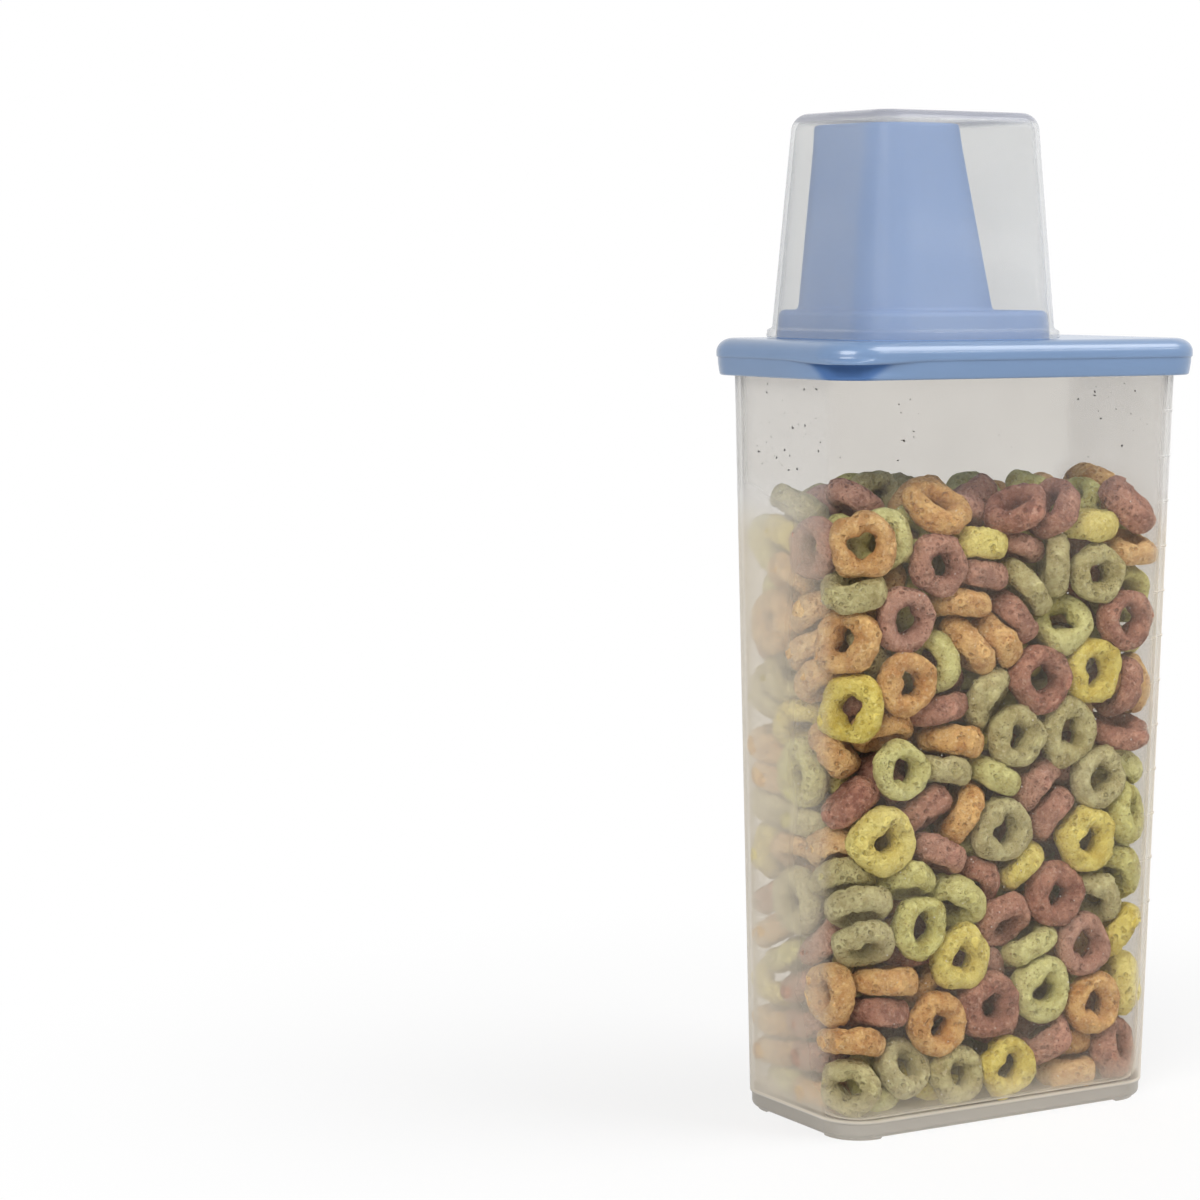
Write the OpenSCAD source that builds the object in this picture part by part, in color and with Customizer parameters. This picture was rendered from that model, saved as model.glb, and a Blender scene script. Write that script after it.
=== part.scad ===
// Cereal keeper: a tall drafted container, a push-on lid with a seal, a pour spout that
// snaps into the lid, and a clear measuring cup that stands mouth down over the spout.
// Millimetres. +X runs along the wide side, +Y to the back, +Z up from the table.

/* [Container] */
// Outer width at the ledge above the base
base_w = 103.4; // [80:0.1:160]
// Outer depth at the ledge above the base
base_d = 52.8; // [48:0.1:110]
// Outer corner radius of the container
corner_r = 11.4; // [8:0.1:16]
// Height of the container's rim above the table
rim_z = 202.6; // [120:0.1:300]
// Draft of the container's walls, in degrees
body_draft = 1.13; // [0.2:0.01:2]
// Thickness of the container's walls
wall = 1.4; // [1:0.1:2.4]
// Thickness of the container's floor
floor_t = 1.6; // [1:0.1:2.4]
// How far the rim's rolled edge stands out
rim_out = 0.6; // [0.3:0.1:0.6]
// Height of the rim's rolled edge
rim_h = 3.2; // [2:0.1:5]
// Radius of the curve from the walls to the floor inside
floor_round = 3.2; // [1:0.1:6]

/* [Base] */
// Height of the ledge where the walls end and the base band starts
ledge_z = 4.7; // [4:0.1:8]
// How far the base band is set in under the walls
band_inset = 0.5; // [0.2:0.1:1.2]
// Radius of the band's lower edge
band_round = 1.6; // [0.6:0.1:2]
// Thickness of the band
band_t = 3.5; // [3:0.1:6]
// Height of the corner feet
foot_h = 0.6; // [0.4:0.1:1.5]
// Length of a corner foot along each side
foot_len = 13.2; // [9:0.1:20]

/* [Level marks] */
// Height of the top level mark
mark_top_z = 187.2; // [100:0.1:190]
// Distance from one level mark to the next
mark_pitch = 12.1; // [6:0.1:14]
// Number of level marks
mark_count = 12; // [2:1:13]
// Height of one level mark
mark_h = 0.6; // [0.3:0.1:1.2]
// How far a level mark stands out of the wall
mark_out = 0.25; // [0.1:0.05:0.6]

/* [Lid] */
// How far the lid stands past the container's wall at the ends
lid_over_x = 4.2; // [4:0.1:7]
// How far the lid stands past the container's wall at the front and back
lid_over_y = 3.0; // [2.8:0.1:6]
// Corner radius of the lid
lid_r = 12.4; // [8:0.1:16]
// Thickness of the lid's top panel
panel_t = 2.0; // [1.2:0.1:3]
// Height of the rounded bead round the lid's top
bead_h = 4.9; // [4:0.1:6]
// Height of the skirt below the bead
skirt_h = 4.8; // [3.5:0.1:7]
// How far the bead stands out past the skirt
bead_step = 0.35; // [0.1:0.05:0.6]
// How far the skirt turns in at its lower edge
skirt_turn = 0.5; // [0.1:0.05:0.6]
// Thickness from the bead's outline to the inside of the skirt
skirt_t = 2.0; // [1.8:0.1:2.1]
// How far the rounding of the bead reaches in over the top
bead_in = 4.4; // [2:0.1:7]
// Depth of the plug that enters the container, below the panel
plug_h = 7.2; // [6:0.1:20]
// Thickness of the plug
plug_t = 1.2; // [0.8:0.1:2]
// Clearance between the plug and the container's wall
plug_clear = 0.5; // [0.3:0.05:1]
// Corner radius of the finger tab, squarer than the lid's own corner
tab_r = 6.4; // [4:0.1:7.5]
// Thickness of the finger tab's lip
tab_t = 1.5; // [0.8:0.1:2]

/* [Seal] */
// Thickness of the seal ring
seal_t = 1.6; // [1:0.1:2.4]
// Clearance round the seal ring in its channel
seal_clear = 0.15; // [0.1:0.05:0.3]
// Gap left between pieces that seat on each other and lift apart
seat_gap = 0.2; // [0.1:0.05:0.3]

/* [Measuring cup] */
// Distance of the cup's centre from the container's centre, towards the pouring end
cup_shift = 14.3; // [8:0.1:22]
// Outer width of the cup at its mouth, above the flared lip
cup_w = 64.2; // [58:0.1:72]
// Outer depth of the cup at its mouth, above the flared lip
cup_d = 55.8; // [52:0.1:58]
// Corner radius of the cup at its mouth
cup_r = 13.0; // [11:0.1:18]
// Height of the cup
cup_h = 58.4; // [50:0.1:70]
// Draft of the cup's walls, in degrees
cup_draft = 5.1; // [3:0.1:6]
// Thickness of the cup's walls
cup_wall = 1.1; // [0.8:0.1:1.6]
// Thickness of the cup's end panel
cup_top_t = 1.5; // [1:0.1:2.5]
// Radius of the cup's outer edge at the closed end
cup_round = 4.2; // [2:0.1:6]
// How far the lip at the cup's mouth flares out
lip_out = 1.3; // [0.5:0.1:2]
// Height of the lip at the cup's mouth
lip_h = 2.3; // [1.5:0.1:4]
// Clearance between the collar and the inside of the cup
cup_clear = 0.3; // [0.3:0.05:0.8]

/* [Pour spout] */
// Height of the collar above the lid
collar_h = 7.4; // [5:0.1:10]
// Radius of the collar's upper edge
collar_round = 1.6; // [0.8:0.1:2.2]
// Wall thickness of the spout and the collar
spout_wall = 1.6; // [1:0.1:2]
// Width of the spout where it leaves the collar
spout_base_w = 42.4; // [32:0.1:44]
// Depth of the spout where it leaves the collar
spout_base_d = 47.0; // [38:0.1:48]
// Corner radius of the spout where it leaves the collar
spout_base_r = 14.0; // [8:0.1:18]
// Width of the spout's mouth
mouth_w = 29.0; // [20:0.1:32]
// Depth of the spout's mouth
mouth_d = 38.6; // [26:0.1:39]
// Corner radius of the spout's mouth
mouth_r = 11.5; // [6:0.1:13]
// Height of the spout above the collar
spout_h = 48.0; // [36:0.1:48.5]
// Distance of the spout's foot from the cup's centre, towards the pouring end
spout_base_shift = 5.8; // [2:0.1:6]
// Distance of the spout's mouth from the cup's centre, towards the pouring end
mouth_shift = 9.2; // [2:0.1:9.5]
// How far the rolled edge of the mouth stands out
mouth_bead = 0.2; // [0.1:0.1:0.8]
// How far the collar rests on the lid round the neck
collar_rest = 2.5; // [1.5:0.1:3.5]
// Clearance between the neck and its hole in the lid
neck_clear = 0.25; // [0.1:0.05:0.4]
// How far the snap edge under the lid stands out from the neck
snap_out = 0.7; // [0.5:0.1:1]

/* [Hidden] */

corner_steps = 10;   // straight steps round one corner of a lofted outline
fillet_steps = 5;    // straight steps round one filleted edge
exact_fn = 96;
overlap = 0.4;       // how far pieces of one moulding run into each other
reach = 400;         // longer than the object, for cutters

inner_floor_z = ledge_z + 0.3;
floor_under_z = inner_floor_z - floor_t;
rim_w = base_w + 2 * grow(rim_z);
rim_d = base_d + 2 * grow(rim_z);

lid_w = rim_w + 2 * lid_over_x;
lid_d = rim_d + 2 * lid_over_y;
panel_under_z = rim_z + seat_gap + seal_t;
lid_top_z = panel_under_z + panel_t;
bead_low_z = lid_top_z - bead_h;
skirt_low_z = bead_low_z - skirt_h;

cup_low_z = lid_top_z + seat_gap;
cup_top_z = cup_low_z + cup_h;
collar_top_z = lid_top_z + collar_h;
spout_top_z = collar_top_z + spout_h;
neck_low_z = panel_under_z - 3;

// Growth of the container's half width from the ledge up to height z
function grow(z) = (z - ledge_z) * tan(body_draft);

// Offset of the cup's outer wall from its mouth outline at height z
function cup_offset(z) = -(z - cup_low_z) * tan(cup_draft);

// Points of a rounded rectangle, anticlockwise from the middle of its +X end
function rounded_rect(w, d, r) =
    let (q = max(0.3, min(r, w / 2 - 0.1, d / 2 - 0.1)))
    [for (corner = [0:3]) for (k = [0:corner_steps])
        let (
            a = 90 * (corner + k / corner_steps),
            side_x = corner == 0 || corner == 3 ? 1 : -1,
            side_y = corner < 2 ? 1 : -1
        )
        [side_x * (w / 2 - q) + q * cos(a), side_y * (d / 2 - q) + q * sin(a)]];

// A section of a loft: its outline's width, depth and radius, its height and its centre's x
function section(w, d, r, offset, z, x = 0) =
    [for (p = rounded_rect(w + 2 * offset, d + 2 * offset, r + offset)) [p[0] + x, p[1], z]];

function container_section(z, offset) =
    section(base_w + 2 * grow(z), base_d + 2 * grow(z), corner_r, offset, z);
function lid_section(z, offset) = section(lid_w, lid_d, lid_r, offset, z);
function cup_section(z, offset) =
    section(cup_w, cup_d, cup_r, cup_offset(z) + offset, z, -cup_shift);
function collar_section(z, offset) = cup_section(z, offset - cup_wall - cup_clear);
function spout_section(z, offset) =
    let (t = (z - collar_top_z) / spout_h)
    section(
        mix(spout_base_w, mouth_w, t), mix(spout_base_d, mouth_d, t),
        mix(spout_base_r, mouth_r, t), offset, z,
        -cup_shift - mix(spout_base_shift, mouth_shift, t)
    );

function mix(a, b, t) = a + (b - a) * t;

// Steps of a rounded edge as [rise, inset] pairs, from the side face to the end face
function edge_round(rise, inset) =
    [for (k = [0:fillet_steps]) let (a = 90 * k / fillet_steps)
        [rise * sin(a), inset * (1 - cos(a))]];

function backwards(list) = [for (i = [len(list) - 1:-1:0]) list[i]];

// A solid through its sections, either closed by the first and last outline or ring shaped
module loft(sections, ring = false) {
    rows = len(sections);
    m = len(sections[0]);
    last = ring ? rows - 1 : rows - 2;
    sides = [for (i = [0:last]) for (j = [0:m - 1])
        let (
            next = (i + 1) % rows,
            a = i * m + j,
            b = i * m + (j + 1) % m,
            c = next * m + (j + 1) % m,
            e = next * m + j
        )
        each [[a, e, c], [a, c, b]]];
    caps = ring ? [] : [[for (j = [0:m - 1]) j], [for (j = [m - 1:-1:0]) (rows - 1) * m + j]];
    polyhedron(points = [for (s = sections) each s], faces = concat(sides, caps), convexity = 10);
}

module rounded_rect_2d(w, d, r) {
    square([w - 2 * r, d], center = true);
    square([w, d - 2 * r], center = true);
    for (sx = [-1, 1], sy = [-1, 1])
        translate([sx * (w / 2 - r), sy * (d / 2 - r)]) circle(r, $fn = exact_fn);
}

module ring_2d(w, d, r, thickness) {
    difference() {
        rounded_rect_2d(w, d, r);
        rounded_rect_2d(w - 2 * thickness, d - 2 * thickness, r - thickness);
    }
}

// ---- container -------------------------------------------------------------------------

module container_shell() {
    band_edge = edge_round(band_round, band_round);
    floor_edge = edge_round(floor_round, floor_round);
    loft(concat(
        [for (s = backwards(band_edge))
            container_section(foot_h + band_round - s[0], -band_inset - s[1])],
        [container_section(ledge_z - 0.3, -band_inset),
         container_section(ledge_z, 0),
         container_section(rim_z - rim_h, 0),
         container_section(rim_z - rim_h + rim_out, rim_out),
         container_section(rim_z - 0.4, rim_out),
         container_section(rim_z, rim_out - 0.4),
         container_section(rim_z, -wall)],
        [for (s = floor_edge)
            container_section(inner_floor_z + floor_round - s[0], -wall - s[1])]
    ));
}

// The hollow under the floor, inside the base band
module base_recess() {
    translate([0, 0, -1])
        linear_extrude(floor_under_z + 1)
            rounded_rect_2d(base_w - 2 * band_t, base_d - 2 * band_t, corner_r - band_t);
}

// Bars with bevelled ends that keep the feet to the ends of the base along one direction
module foot_limits(half_length) {
    bevel = foot_h;
    for (side = [0, 1])
        mirror([side, 0, 0])
            translate([0, reach / 2, 0])
                rotate([90, 0, 0])
                    linear_extrude(reach)
                        polygon([
                            [half_length - foot_len + bevel, 0],
                            [half_length, 0],
                            [half_length, foot_h + overlap],
                            [half_length - foot_len - overlap, foot_h + overlap]
                        ]);
}

module feet() {
    foot_inset = band_inset + band_round;
    intersection() {
        linear_extrude(foot_h + overlap)
            ring_2d(
                base_w - 2 * foot_inset, base_d - 2 * foot_inset,
                corner_r - foot_inset, band_t - foot_inset
            );
        foot_limits(base_w / 2);
        rotate([0, 0, 90]) foot_limits(base_d / 2);
    }
}

// Raised level marks that wrap the front right corner
module level_marks() {
    for (i = [0:mark_count - 1]) {
        z = mark_top_z - i * mark_pitch;
        centre_x = base_w / 2 + grow(z) - corner_r;
        centre_y = -(base_d / 2 + grow(z) - corner_r);
        translate([centre_x, centre_y, z - mark_h / 2])
            rotate([0, 0, -83])
                rotate_extrude(angle = 64, $fn = exact_fn)
                    translate([corner_r - overlap, 0])
                        square([overlap + mark_out, mark_h]);
    }
}

module container_body() {
    color([0.88, 0.88, 0.87, 0.5]) {
        difference() {
            container_shell();
            base_recess();
        }
        feet();
        level_marks();
    }
}

// ---- lid -------------------------------------------------------------------------------

module lid_outside() {
    skirt_edge = edge_round(0.7, 0.6);
    bead_edge = edge_round(bead_h - 1.3, bead_in);
    loft(concat(
        [for (s = backwards(skirt_edge))
            lid_section(skirt_low_z + 0.7 - s[0], -bead_step - skirt_turn - s[1])],
        [lid_section(bead_low_z, -bead_step),
         lid_section(bead_low_z + 0.3, -bead_step / 3),
         lid_section(bead_low_z + 0.8, 0)],
        [for (s = bead_edge) lid_section(bead_low_z + 1.3 + s[0], -s[1])]
    ));
}

// The hollow of the lid, with a bevel under the panel that leaves room for the seal
module lid_inside() {
    bevel = (lid_over_y - skirt_t - rim_out) / 2;
    loft([
        lid_section(skirt_low_z - 1, -skirt_t),
        lid_section(panel_under_z - bevel, -skirt_t),
        lid_section(panel_under_z, -skirt_t - bevel)
    ]);
}

module plug() {
    plug_low_z = panel_under_z - plug_h;
    outside = -wall - plug_clear;
    loft([
        container_section(plug_low_z, outside - 0.5),
        container_section(plug_low_z + 1, outside),
        container_section(panel_under_z + overlap, outside),
        container_section(panel_under_z + overlap, outside - plug_t),
        container_section(plug_low_z, outside - plug_t)
    ], ring = true);
}

// A squarer lip under the bead at the front left corner, sloping back to the skirt below
module finger_tab() {
    lip_x = lid_w / 2 - tab_r;
    lip_y = lid_d / 2 - tab_r;
    low_r = lid_r - skirt_t;
    difference() {
        hull($fn = 32) {
            translate([-lip_x, -lip_y, bead_low_z + 0.8 - tab_t]) cylinder(r = tab_r, h = tab_t);
            translate([-lid_w / 2 + skirt_t + low_r, -lid_d / 2 + skirt_t + low_r, skirt_low_z + 0.4])
                cylinder(r = low_r, h = bead_h + skirt_h - panel_t);
        }
        lid_inside();
    }
}

module lid() {
    neck = -cup_wall - cup_clear - collar_rest + neck_clear;
    hole_offset = cup_offset(lid_top_z) + neck;
    color([0.45, 0.58, 0.80])
        difference() {
            union() {
                difference() {
                    lid_outside();
                    lid_inside();
                }
                plug();
                finger_tab();
            }
            translate([-cup_shift, 0, neck_low_z])
                linear_extrude(reach)
                    rounded_rect_2d(cup_w + 2 * hole_offset, cup_d + 2 * hole_offset, cup_r + hole_offset);
        }
}

module lid_seal() {
    width = rim_out + wall + plug_clear - seal_clear;
    color([0.93, 0.93, 0.92])
        translate([0, 0, rim_z + seat_gap])
            linear_extrude(seal_t)
                ring_2d(rim_w + 2 * rim_out, rim_d + 2 * rim_out, corner_r + rim_out, width);
}

// ---- pour spout ------------------------------------------------------------------------

module pour_spout() {
    neck = -collar_rest;
    snap_z = panel_under_z - 0.1;
    ledge_under_z = collar_top_z - spout_wall;
    collar_edge = edge_round(collar_round, collar_round);
    color([0.45, 0.58, 0.80])
        loft(concat(
            [collar_section(neck_low_z, neck),
             collar_section(snap_z - 1.4, neck),
             collar_section(snap_z - 0.5, neck + snap_out),
             collar_section(snap_z, neck + snap_out),
             collar_section(snap_z, neck),
             collar_section(lid_top_z, neck),
             collar_section(lid_top_z, 0)],
            [for (s = collar_edge) collar_section(collar_top_z - collar_round + s[0], -s[1])],
            [spout_section(collar_top_z, 1.0),
             spout_section(collar_top_z + 0.4, 0.4),
             spout_section(collar_top_z + 1.2, 0),
             spout_section(spout_top_z - 2.4, 0),
             spout_section(spout_top_z - 1.9, mouth_bead),
             spout_section(spout_top_z - 0.5, mouth_bead),
             spout_section(spout_top_z, mouth_bead / 2 - spout_wall / 4),
             spout_section(spout_top_z, -spout_wall * 0.75),
             spout_section(spout_top_z - 0.5, -spout_wall),
             spout_section(ledge_under_z + 0.8, -spout_wall),
             collar_section(ledge_under_z, -spout_wall - collar_rest),
             collar_section(neck_low_z, neck - spout_wall)]
        ), ring = true);
}

// ---- measuring cup ---------------------------------------------------------------------

module measuring_cup() {
    inner_round = cup_round - cup_wall;
    inner_top_z = cup_top_z - cup_top_t;
    outer_edge = edge_round(cup_round, cup_round);
    inner_edge = edge_round(inner_round, inner_round);
    color([0.88, 0.90, 0.90, 0.4])
        loft(concat(
            [for (s = backwards(inner_edge))
                cup_section(inner_top_z - inner_round + s[0], -cup_wall - s[1])],
            [cup_section(cup_low_z + 0.3, -cup_wall),
             cup_section(cup_low_z, -cup_wall + 0.3),
             cup_section(cup_low_z, lip_out - 0.3),
             cup_section(cup_low_z + 0.3, lip_out),
             cup_section(cup_low_z + lip_h - 0.5, lip_out),
             cup_section(cup_low_z + lip_h, lip_out * 0.6),
             cup_section(cup_low_z + lip_h + 0.3, 0)],
            [for (s = outer_edge) cup_section(cup_top_z - cup_round + s[0], -s[1])]
        ));
}

container_body();
lid();
lid_seal();
pour_spout();
measuring_cup();
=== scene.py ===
import math
import random

import bmesh
import bpy
import numpy as np
from mathutils import Euler, Matrix, Vector, noise


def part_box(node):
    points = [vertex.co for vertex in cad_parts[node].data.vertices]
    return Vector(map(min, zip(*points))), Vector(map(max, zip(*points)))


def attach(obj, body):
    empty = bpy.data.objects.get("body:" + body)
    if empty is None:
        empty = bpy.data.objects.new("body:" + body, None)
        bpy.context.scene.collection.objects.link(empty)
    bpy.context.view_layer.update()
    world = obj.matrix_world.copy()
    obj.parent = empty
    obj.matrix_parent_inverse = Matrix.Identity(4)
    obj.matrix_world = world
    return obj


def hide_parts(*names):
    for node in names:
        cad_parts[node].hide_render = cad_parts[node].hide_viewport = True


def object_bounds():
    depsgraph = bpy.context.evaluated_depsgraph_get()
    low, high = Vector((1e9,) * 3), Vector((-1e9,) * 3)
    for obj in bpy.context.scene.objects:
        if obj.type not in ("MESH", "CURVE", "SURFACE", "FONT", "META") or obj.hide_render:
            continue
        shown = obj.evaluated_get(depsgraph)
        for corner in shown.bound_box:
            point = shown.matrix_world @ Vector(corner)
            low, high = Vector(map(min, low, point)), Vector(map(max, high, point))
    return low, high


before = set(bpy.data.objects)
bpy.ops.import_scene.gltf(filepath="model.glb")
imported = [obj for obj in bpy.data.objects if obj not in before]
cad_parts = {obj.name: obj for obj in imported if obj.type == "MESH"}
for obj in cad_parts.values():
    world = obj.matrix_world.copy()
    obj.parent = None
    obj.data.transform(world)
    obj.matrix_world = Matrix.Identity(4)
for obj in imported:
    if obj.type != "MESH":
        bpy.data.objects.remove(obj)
cad_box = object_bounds()

MM = 0.001

# ---- sizes, in metres, from the frame where a node gives them ------------------------------

body_low, body_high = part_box("container_body")
lid_low, lid_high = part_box("lid")
spout_low, spout_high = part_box("pour_spout")
cup_low, cup_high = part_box("measuring_cup")

DRAFT = math.tan(math.radians(1.13))
CORNER_R = 11.4 * MM
WALL = 1.4 * MM
RIM_OUT = 0.6 * MM
RIM_H = 3.2 * MM
RIM_EDGE = 0.4 * MM
INNER_EDGE = 0.3 * MM
LEDGE_Z = 4.7 * MM
FLOOR_Z = 5.0 * MM
FLOOR_UNDER_Z = 3.4 * MM
FLOOR_ROUND = 3.2 * MM
UNDER_EDGE = 0.3 * MM
BAND_INSET = 0.5 * MM
BAND_ROUND = 1.6 * MM
BAND_T = 3.5 * MM
# The ledge's edge: height over the ledge, and what share of the band's inset is left there.
LEDGE_EDGE = ((-0.45 * MM, 1), (-0.1 * MM, 0.7), (0, 0.25), (0.25 * MM, 0))
FOOT_H = 0.6 * MM
FOOT_LEN = 13.2 * MM
RIM_Z = body_high.z
RIM_W = 2 * (body_high.x - RIM_OUT)
RIM_D = 2 * (body_high.y - RIM_OUT)

MARK_TOP_Z = 187.2 * MM
MARK_PITCH = 12.1 * MM
MARK_COUNT = 12
MARK_H = 0.6 * MM
MARK_OUT = 0.25 * MM
MARK_EASE = MARK_H / 5
MARK_FROM, MARK_TO = 277, 341

LID_W = 2 * lid_high.x
LID_D = 2 * lid_high.y
LID_R = 12.4 * MM
LID_TOP_Z = lid_high.z
PANEL_UNDER_Z = LID_TOP_Z - 2.0 * MM
PLUG_LOW_Z = PANEL_UNDER_Z - 7.2 * MM
BEAD_LOW_Z = LID_TOP_Z - 4.9 * MM
SKIRT_LOW_Z = BEAD_LOW_Z - 4.8 * MM
BEAD_STEP = 0.35 * MM
BEAD_IN = 4.4 * MM
BEAD_SIDE = 1.3 * MM
BEAD_STEPS = 14
# The bead's lower edge: height, offset, and the shares of the finger tab's square corner and dip.
BEAD_EDGE = (
    (1.15 * MM, 0, 0.05, 0.5),
    (0.95 * MM, 0, 0.3, 0.8),
    (0.8 * MM, 0, 0.9, 1),
    (0.6 * MM, 0, 1, 1),
    (0.15 * MM, -0.04 * MM, 1, 1),
    (0, -0.15 * MM, 0.94, 1),
)
SKIRT_T = 2.0 * MM
SKIRT_TURN = 0.5 * MM
SKIRT_EDGE_H = 0.7 * MM
SKIRT_EDGE_IN = 0.6 * MM
SKIRT_STEPS = 5
LID_BEVEL = 0.2 * MM
PLUG_T = 1.2 * MM
PLUG_CLEAR = 0.5 * MM
PLUG_TIP_H = 1 * MM
PLUG_TIP_IN = 0.5 * MM
TAB_R = 6.4 * MM
TAB_DIP = 0.8 * MM
TAB_SCOOP = 1.6 * MM
TAB_REACH = 26 * MM
TAB_FULL = 5 * MM
SCOOP_DEEP = 1.6 * MM
SCOOP_END = 1.4 * MM
STOP_PITCH = 4 * MM

CUP_DRAFT = math.tan(math.radians(5.1))
CUP_X = (cup_low.x + cup_high.x) / 2
CUP_LIP_OUT = 1.3 * MM
CUP_LIP_H = 2.3 * MM
CUP_W = cup_high.x - cup_low.x - 2 * CUP_LIP_OUT
CUP_D = cup_high.y - cup_low.y - 2 * CUP_LIP_OUT
CUP_R = 13.0 * MM
CUP_WALL = 1.1 * MM
CUP_TOP_T = 1.5 * MM
CUP_ROUND = 4.2 * MM
CUP_EDGE = 0.3 * MM
CUP_CLEAR = 0.3 * MM
CUP_INNER_STEPS = 10
CUP_OUTER_STEPS = 12
# Where the cup's lip runs into its wall: height, and what share of the lip's width is left.
LIP_EASE = ((-0.6 * MM, 1), (-0.2 * MM, 0.8), (0.1 * MM, 0.3), (0.6 * MM, 0))

COLLAR_H = 7.4 * MM
COLLAR_Z = LID_TOP_Z + COLLAR_H
COLLAR_ROUND = 1.6 * MM
COLLAR_REST = 2.5 * MM
NECK_CLEAR = 0.25 * MM
NECK_STOP = 2.4 * MM
SNAP_CLEAR = 0.1 * MM
SNAP_OUT = 0.7 * MM
SNAP_FLAT = 0.5 * MM
SNAP_LOW = 1.4 * MM
SPOUT_WALL = 1.6 * MM
SPOUT_BASE = (42.4 * MM, 47.0 * MM, 14.0 * MM, CUP_X - 5.8 * MM)
SPOUT_MOUTH = (29.0 * MM, 38.6 * MM, 11.5 * MM, CUP_X - 9.2 * MM)
SPOUT_FOOT_H = 1.3 * MM
SPOUT_FOOT_OUT = 1.1 * MM
SPOUT_FOOT_STEPS = 6
UNDER_ROUND = 0.8 * MM
MOUTH_BEAD = 0.2 * MM
# Round the spout's mouth: depth under its top, and a share of the bead outside, of the wall inside.
MOUTH_OUTSIDE = ((7 * MM, 0), (3 * MM, 0.6), (1 * MM, 1), (0.4 * MM, 0.6))
MOUTH_INSIDE = ((0.1 * MM, 0.1), (0, 0.3), (0, 0.75), (0.5 * MM, 1))

CORNER_STEPS = 20
EDGE_STEPS = 8
SHARP = math.radians(38)

# ---- lofted mouldings ------------------------------------------------------------------------


def outline(width, depth, radii, stops_x=(), stops_y=()):
    """A rounded rectangle's points, anticlockwise from the middle of its right side.

    radii are the corners' at back right, back left, front left and front right. The stops
    are distances from the middle where the straight sides get points of their own.
    """
    points = []
    sides = (stops_x, stops_y, stops_x, stops_y)
    for corner, (radius, stops) in enumerate(zip(radii, sides)):
        side_x = 1 if corner in (0, 3) else -1
        side_y = 1 if corner < 2 else -1
        centre = Vector((side_x * (width / 2 - radius), side_y * (depth / 2 - radius)))
        for step in range(CORNER_STEPS + 1):
            turn = math.radians(90 * (corner + step / CORNER_STEPS))
            points.append(centre + radius * Vector((math.cos(turn), math.sin(turn))))
        for stop in sorted([*stops, *(-s for s in stops)], reverse=True):
            ahead = stop if corner in (0, 1) else -stop
            if corner in (0, 2):
                points.append(Vector((ahead, side_y * depth / 2)))
            else:
                points.append(Vector((side_x * width / 2, ahead)))
    return np.array(points)


def ring(z, plan, x=0):
    """One section of a loft: a plan at height z, which may differ from point to point."""
    return np.column_stack([plan[:, 0] + x, plan[:, 1], np.broadcast_to(z, len(plan))])


def rounded(rise, inset, steps=EDGE_STEPS):
    """(rise, inset) pairs round an edge, from the side face to the end face."""
    turns = np.radians(np.linspace(0, 90, steps + 1))
    return [(rise * math.sin(t), inset * (1 - math.cos(t))) for t in turns]


def loft(name, rings, closed=False):
    """A skin through the rings, closed on itself or by its first and last outline."""
    rows = len(rings)
    around = len(rings[0])
    faces = []
    for row in range(rows if closed else rows - 1):
        low = row * around
        high = (row + 1) % rows * around
        for i in range(around):
            j = (i + 1) % around
            faces.append((low + i, low + j, high + j, high + i))
    if not closed:
        faces.append(tuple(reversed(range(around))))
        faces.append(tuple(range((rows - 1) * around, rows * around)))
    mesh = bpy.data.meshes.new(name)
    mesh.from_pydata(np.concatenate(rings).tolist(), [], faces)
    return finished(name, mesh)


def finished(name, mesh):
    """The object of a mesh, cleaned, facing outwards and smooth apart from its sharp edges."""
    cleaner = bmesh.new()
    cleaner.from_mesh(mesh)
    bmesh.ops.remove_doubles(cleaner, verts=cleaner.verts, dist=0.002 * MM)
    bmesh.ops.recalc_face_normals(cleaner, faces=cleaner.faces)
    cleaner.to_mesh(mesh)
    cleaner.free()
    mesh.polygons.foreach_set("use_smooth", [True] * len(mesh.polygons))
    mesh.set_sharp_from_angle(angle=SHARP)
    piece = bpy.data.objects.new(name, mesh)
    bpy.context.scene.collection.objects.link(piece)
    return piece


# ---- container ---------------------------------------------------------------------------------


def container_growth(z):
    """How far the container's wall stands out at height z past where it is at the ledge."""
    return (z - LEDGE_Z) * DRAFT


def container_plan(z, offset):
    growth = container_growth(z) - container_growth(RIM_Z)
    stops_x = [RIM_W / 2 - container_growth(RIM_Z) - FOOT_LEN + s for s in (0, FOOT_H)]
    stops_y = [RIM_D / 2 - container_growth(RIM_Z) - FOOT_LEN + s for s in (0, FOOT_H)]
    grown = 2 * (growth + offset)
    return outline(RIM_W + grown, RIM_D + grown, [CORNER_R + offset] * 4, stops_x, stops_y)


def container_ring(z, offset):
    return ring(z, container_plan(z, offset))


def foot_heights(plan):
    """The underside's height at each point of a plan: 0 on the corner feet, bevelled at their ends."""
    half_w = RIM_W / 2 - container_growth(RIM_Z)
    half_d = RIM_D / 2 - container_growth(RIM_Z)
    into_x = np.abs(plan[:, 0]) - (half_w - FOOT_LEN)
    into_y = np.abs(plan[:, 1]) - (half_d - FOOT_LEN)
    return FOOT_H - np.clip(np.minimum(into_x, into_y), 0, FOOT_H)


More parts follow.
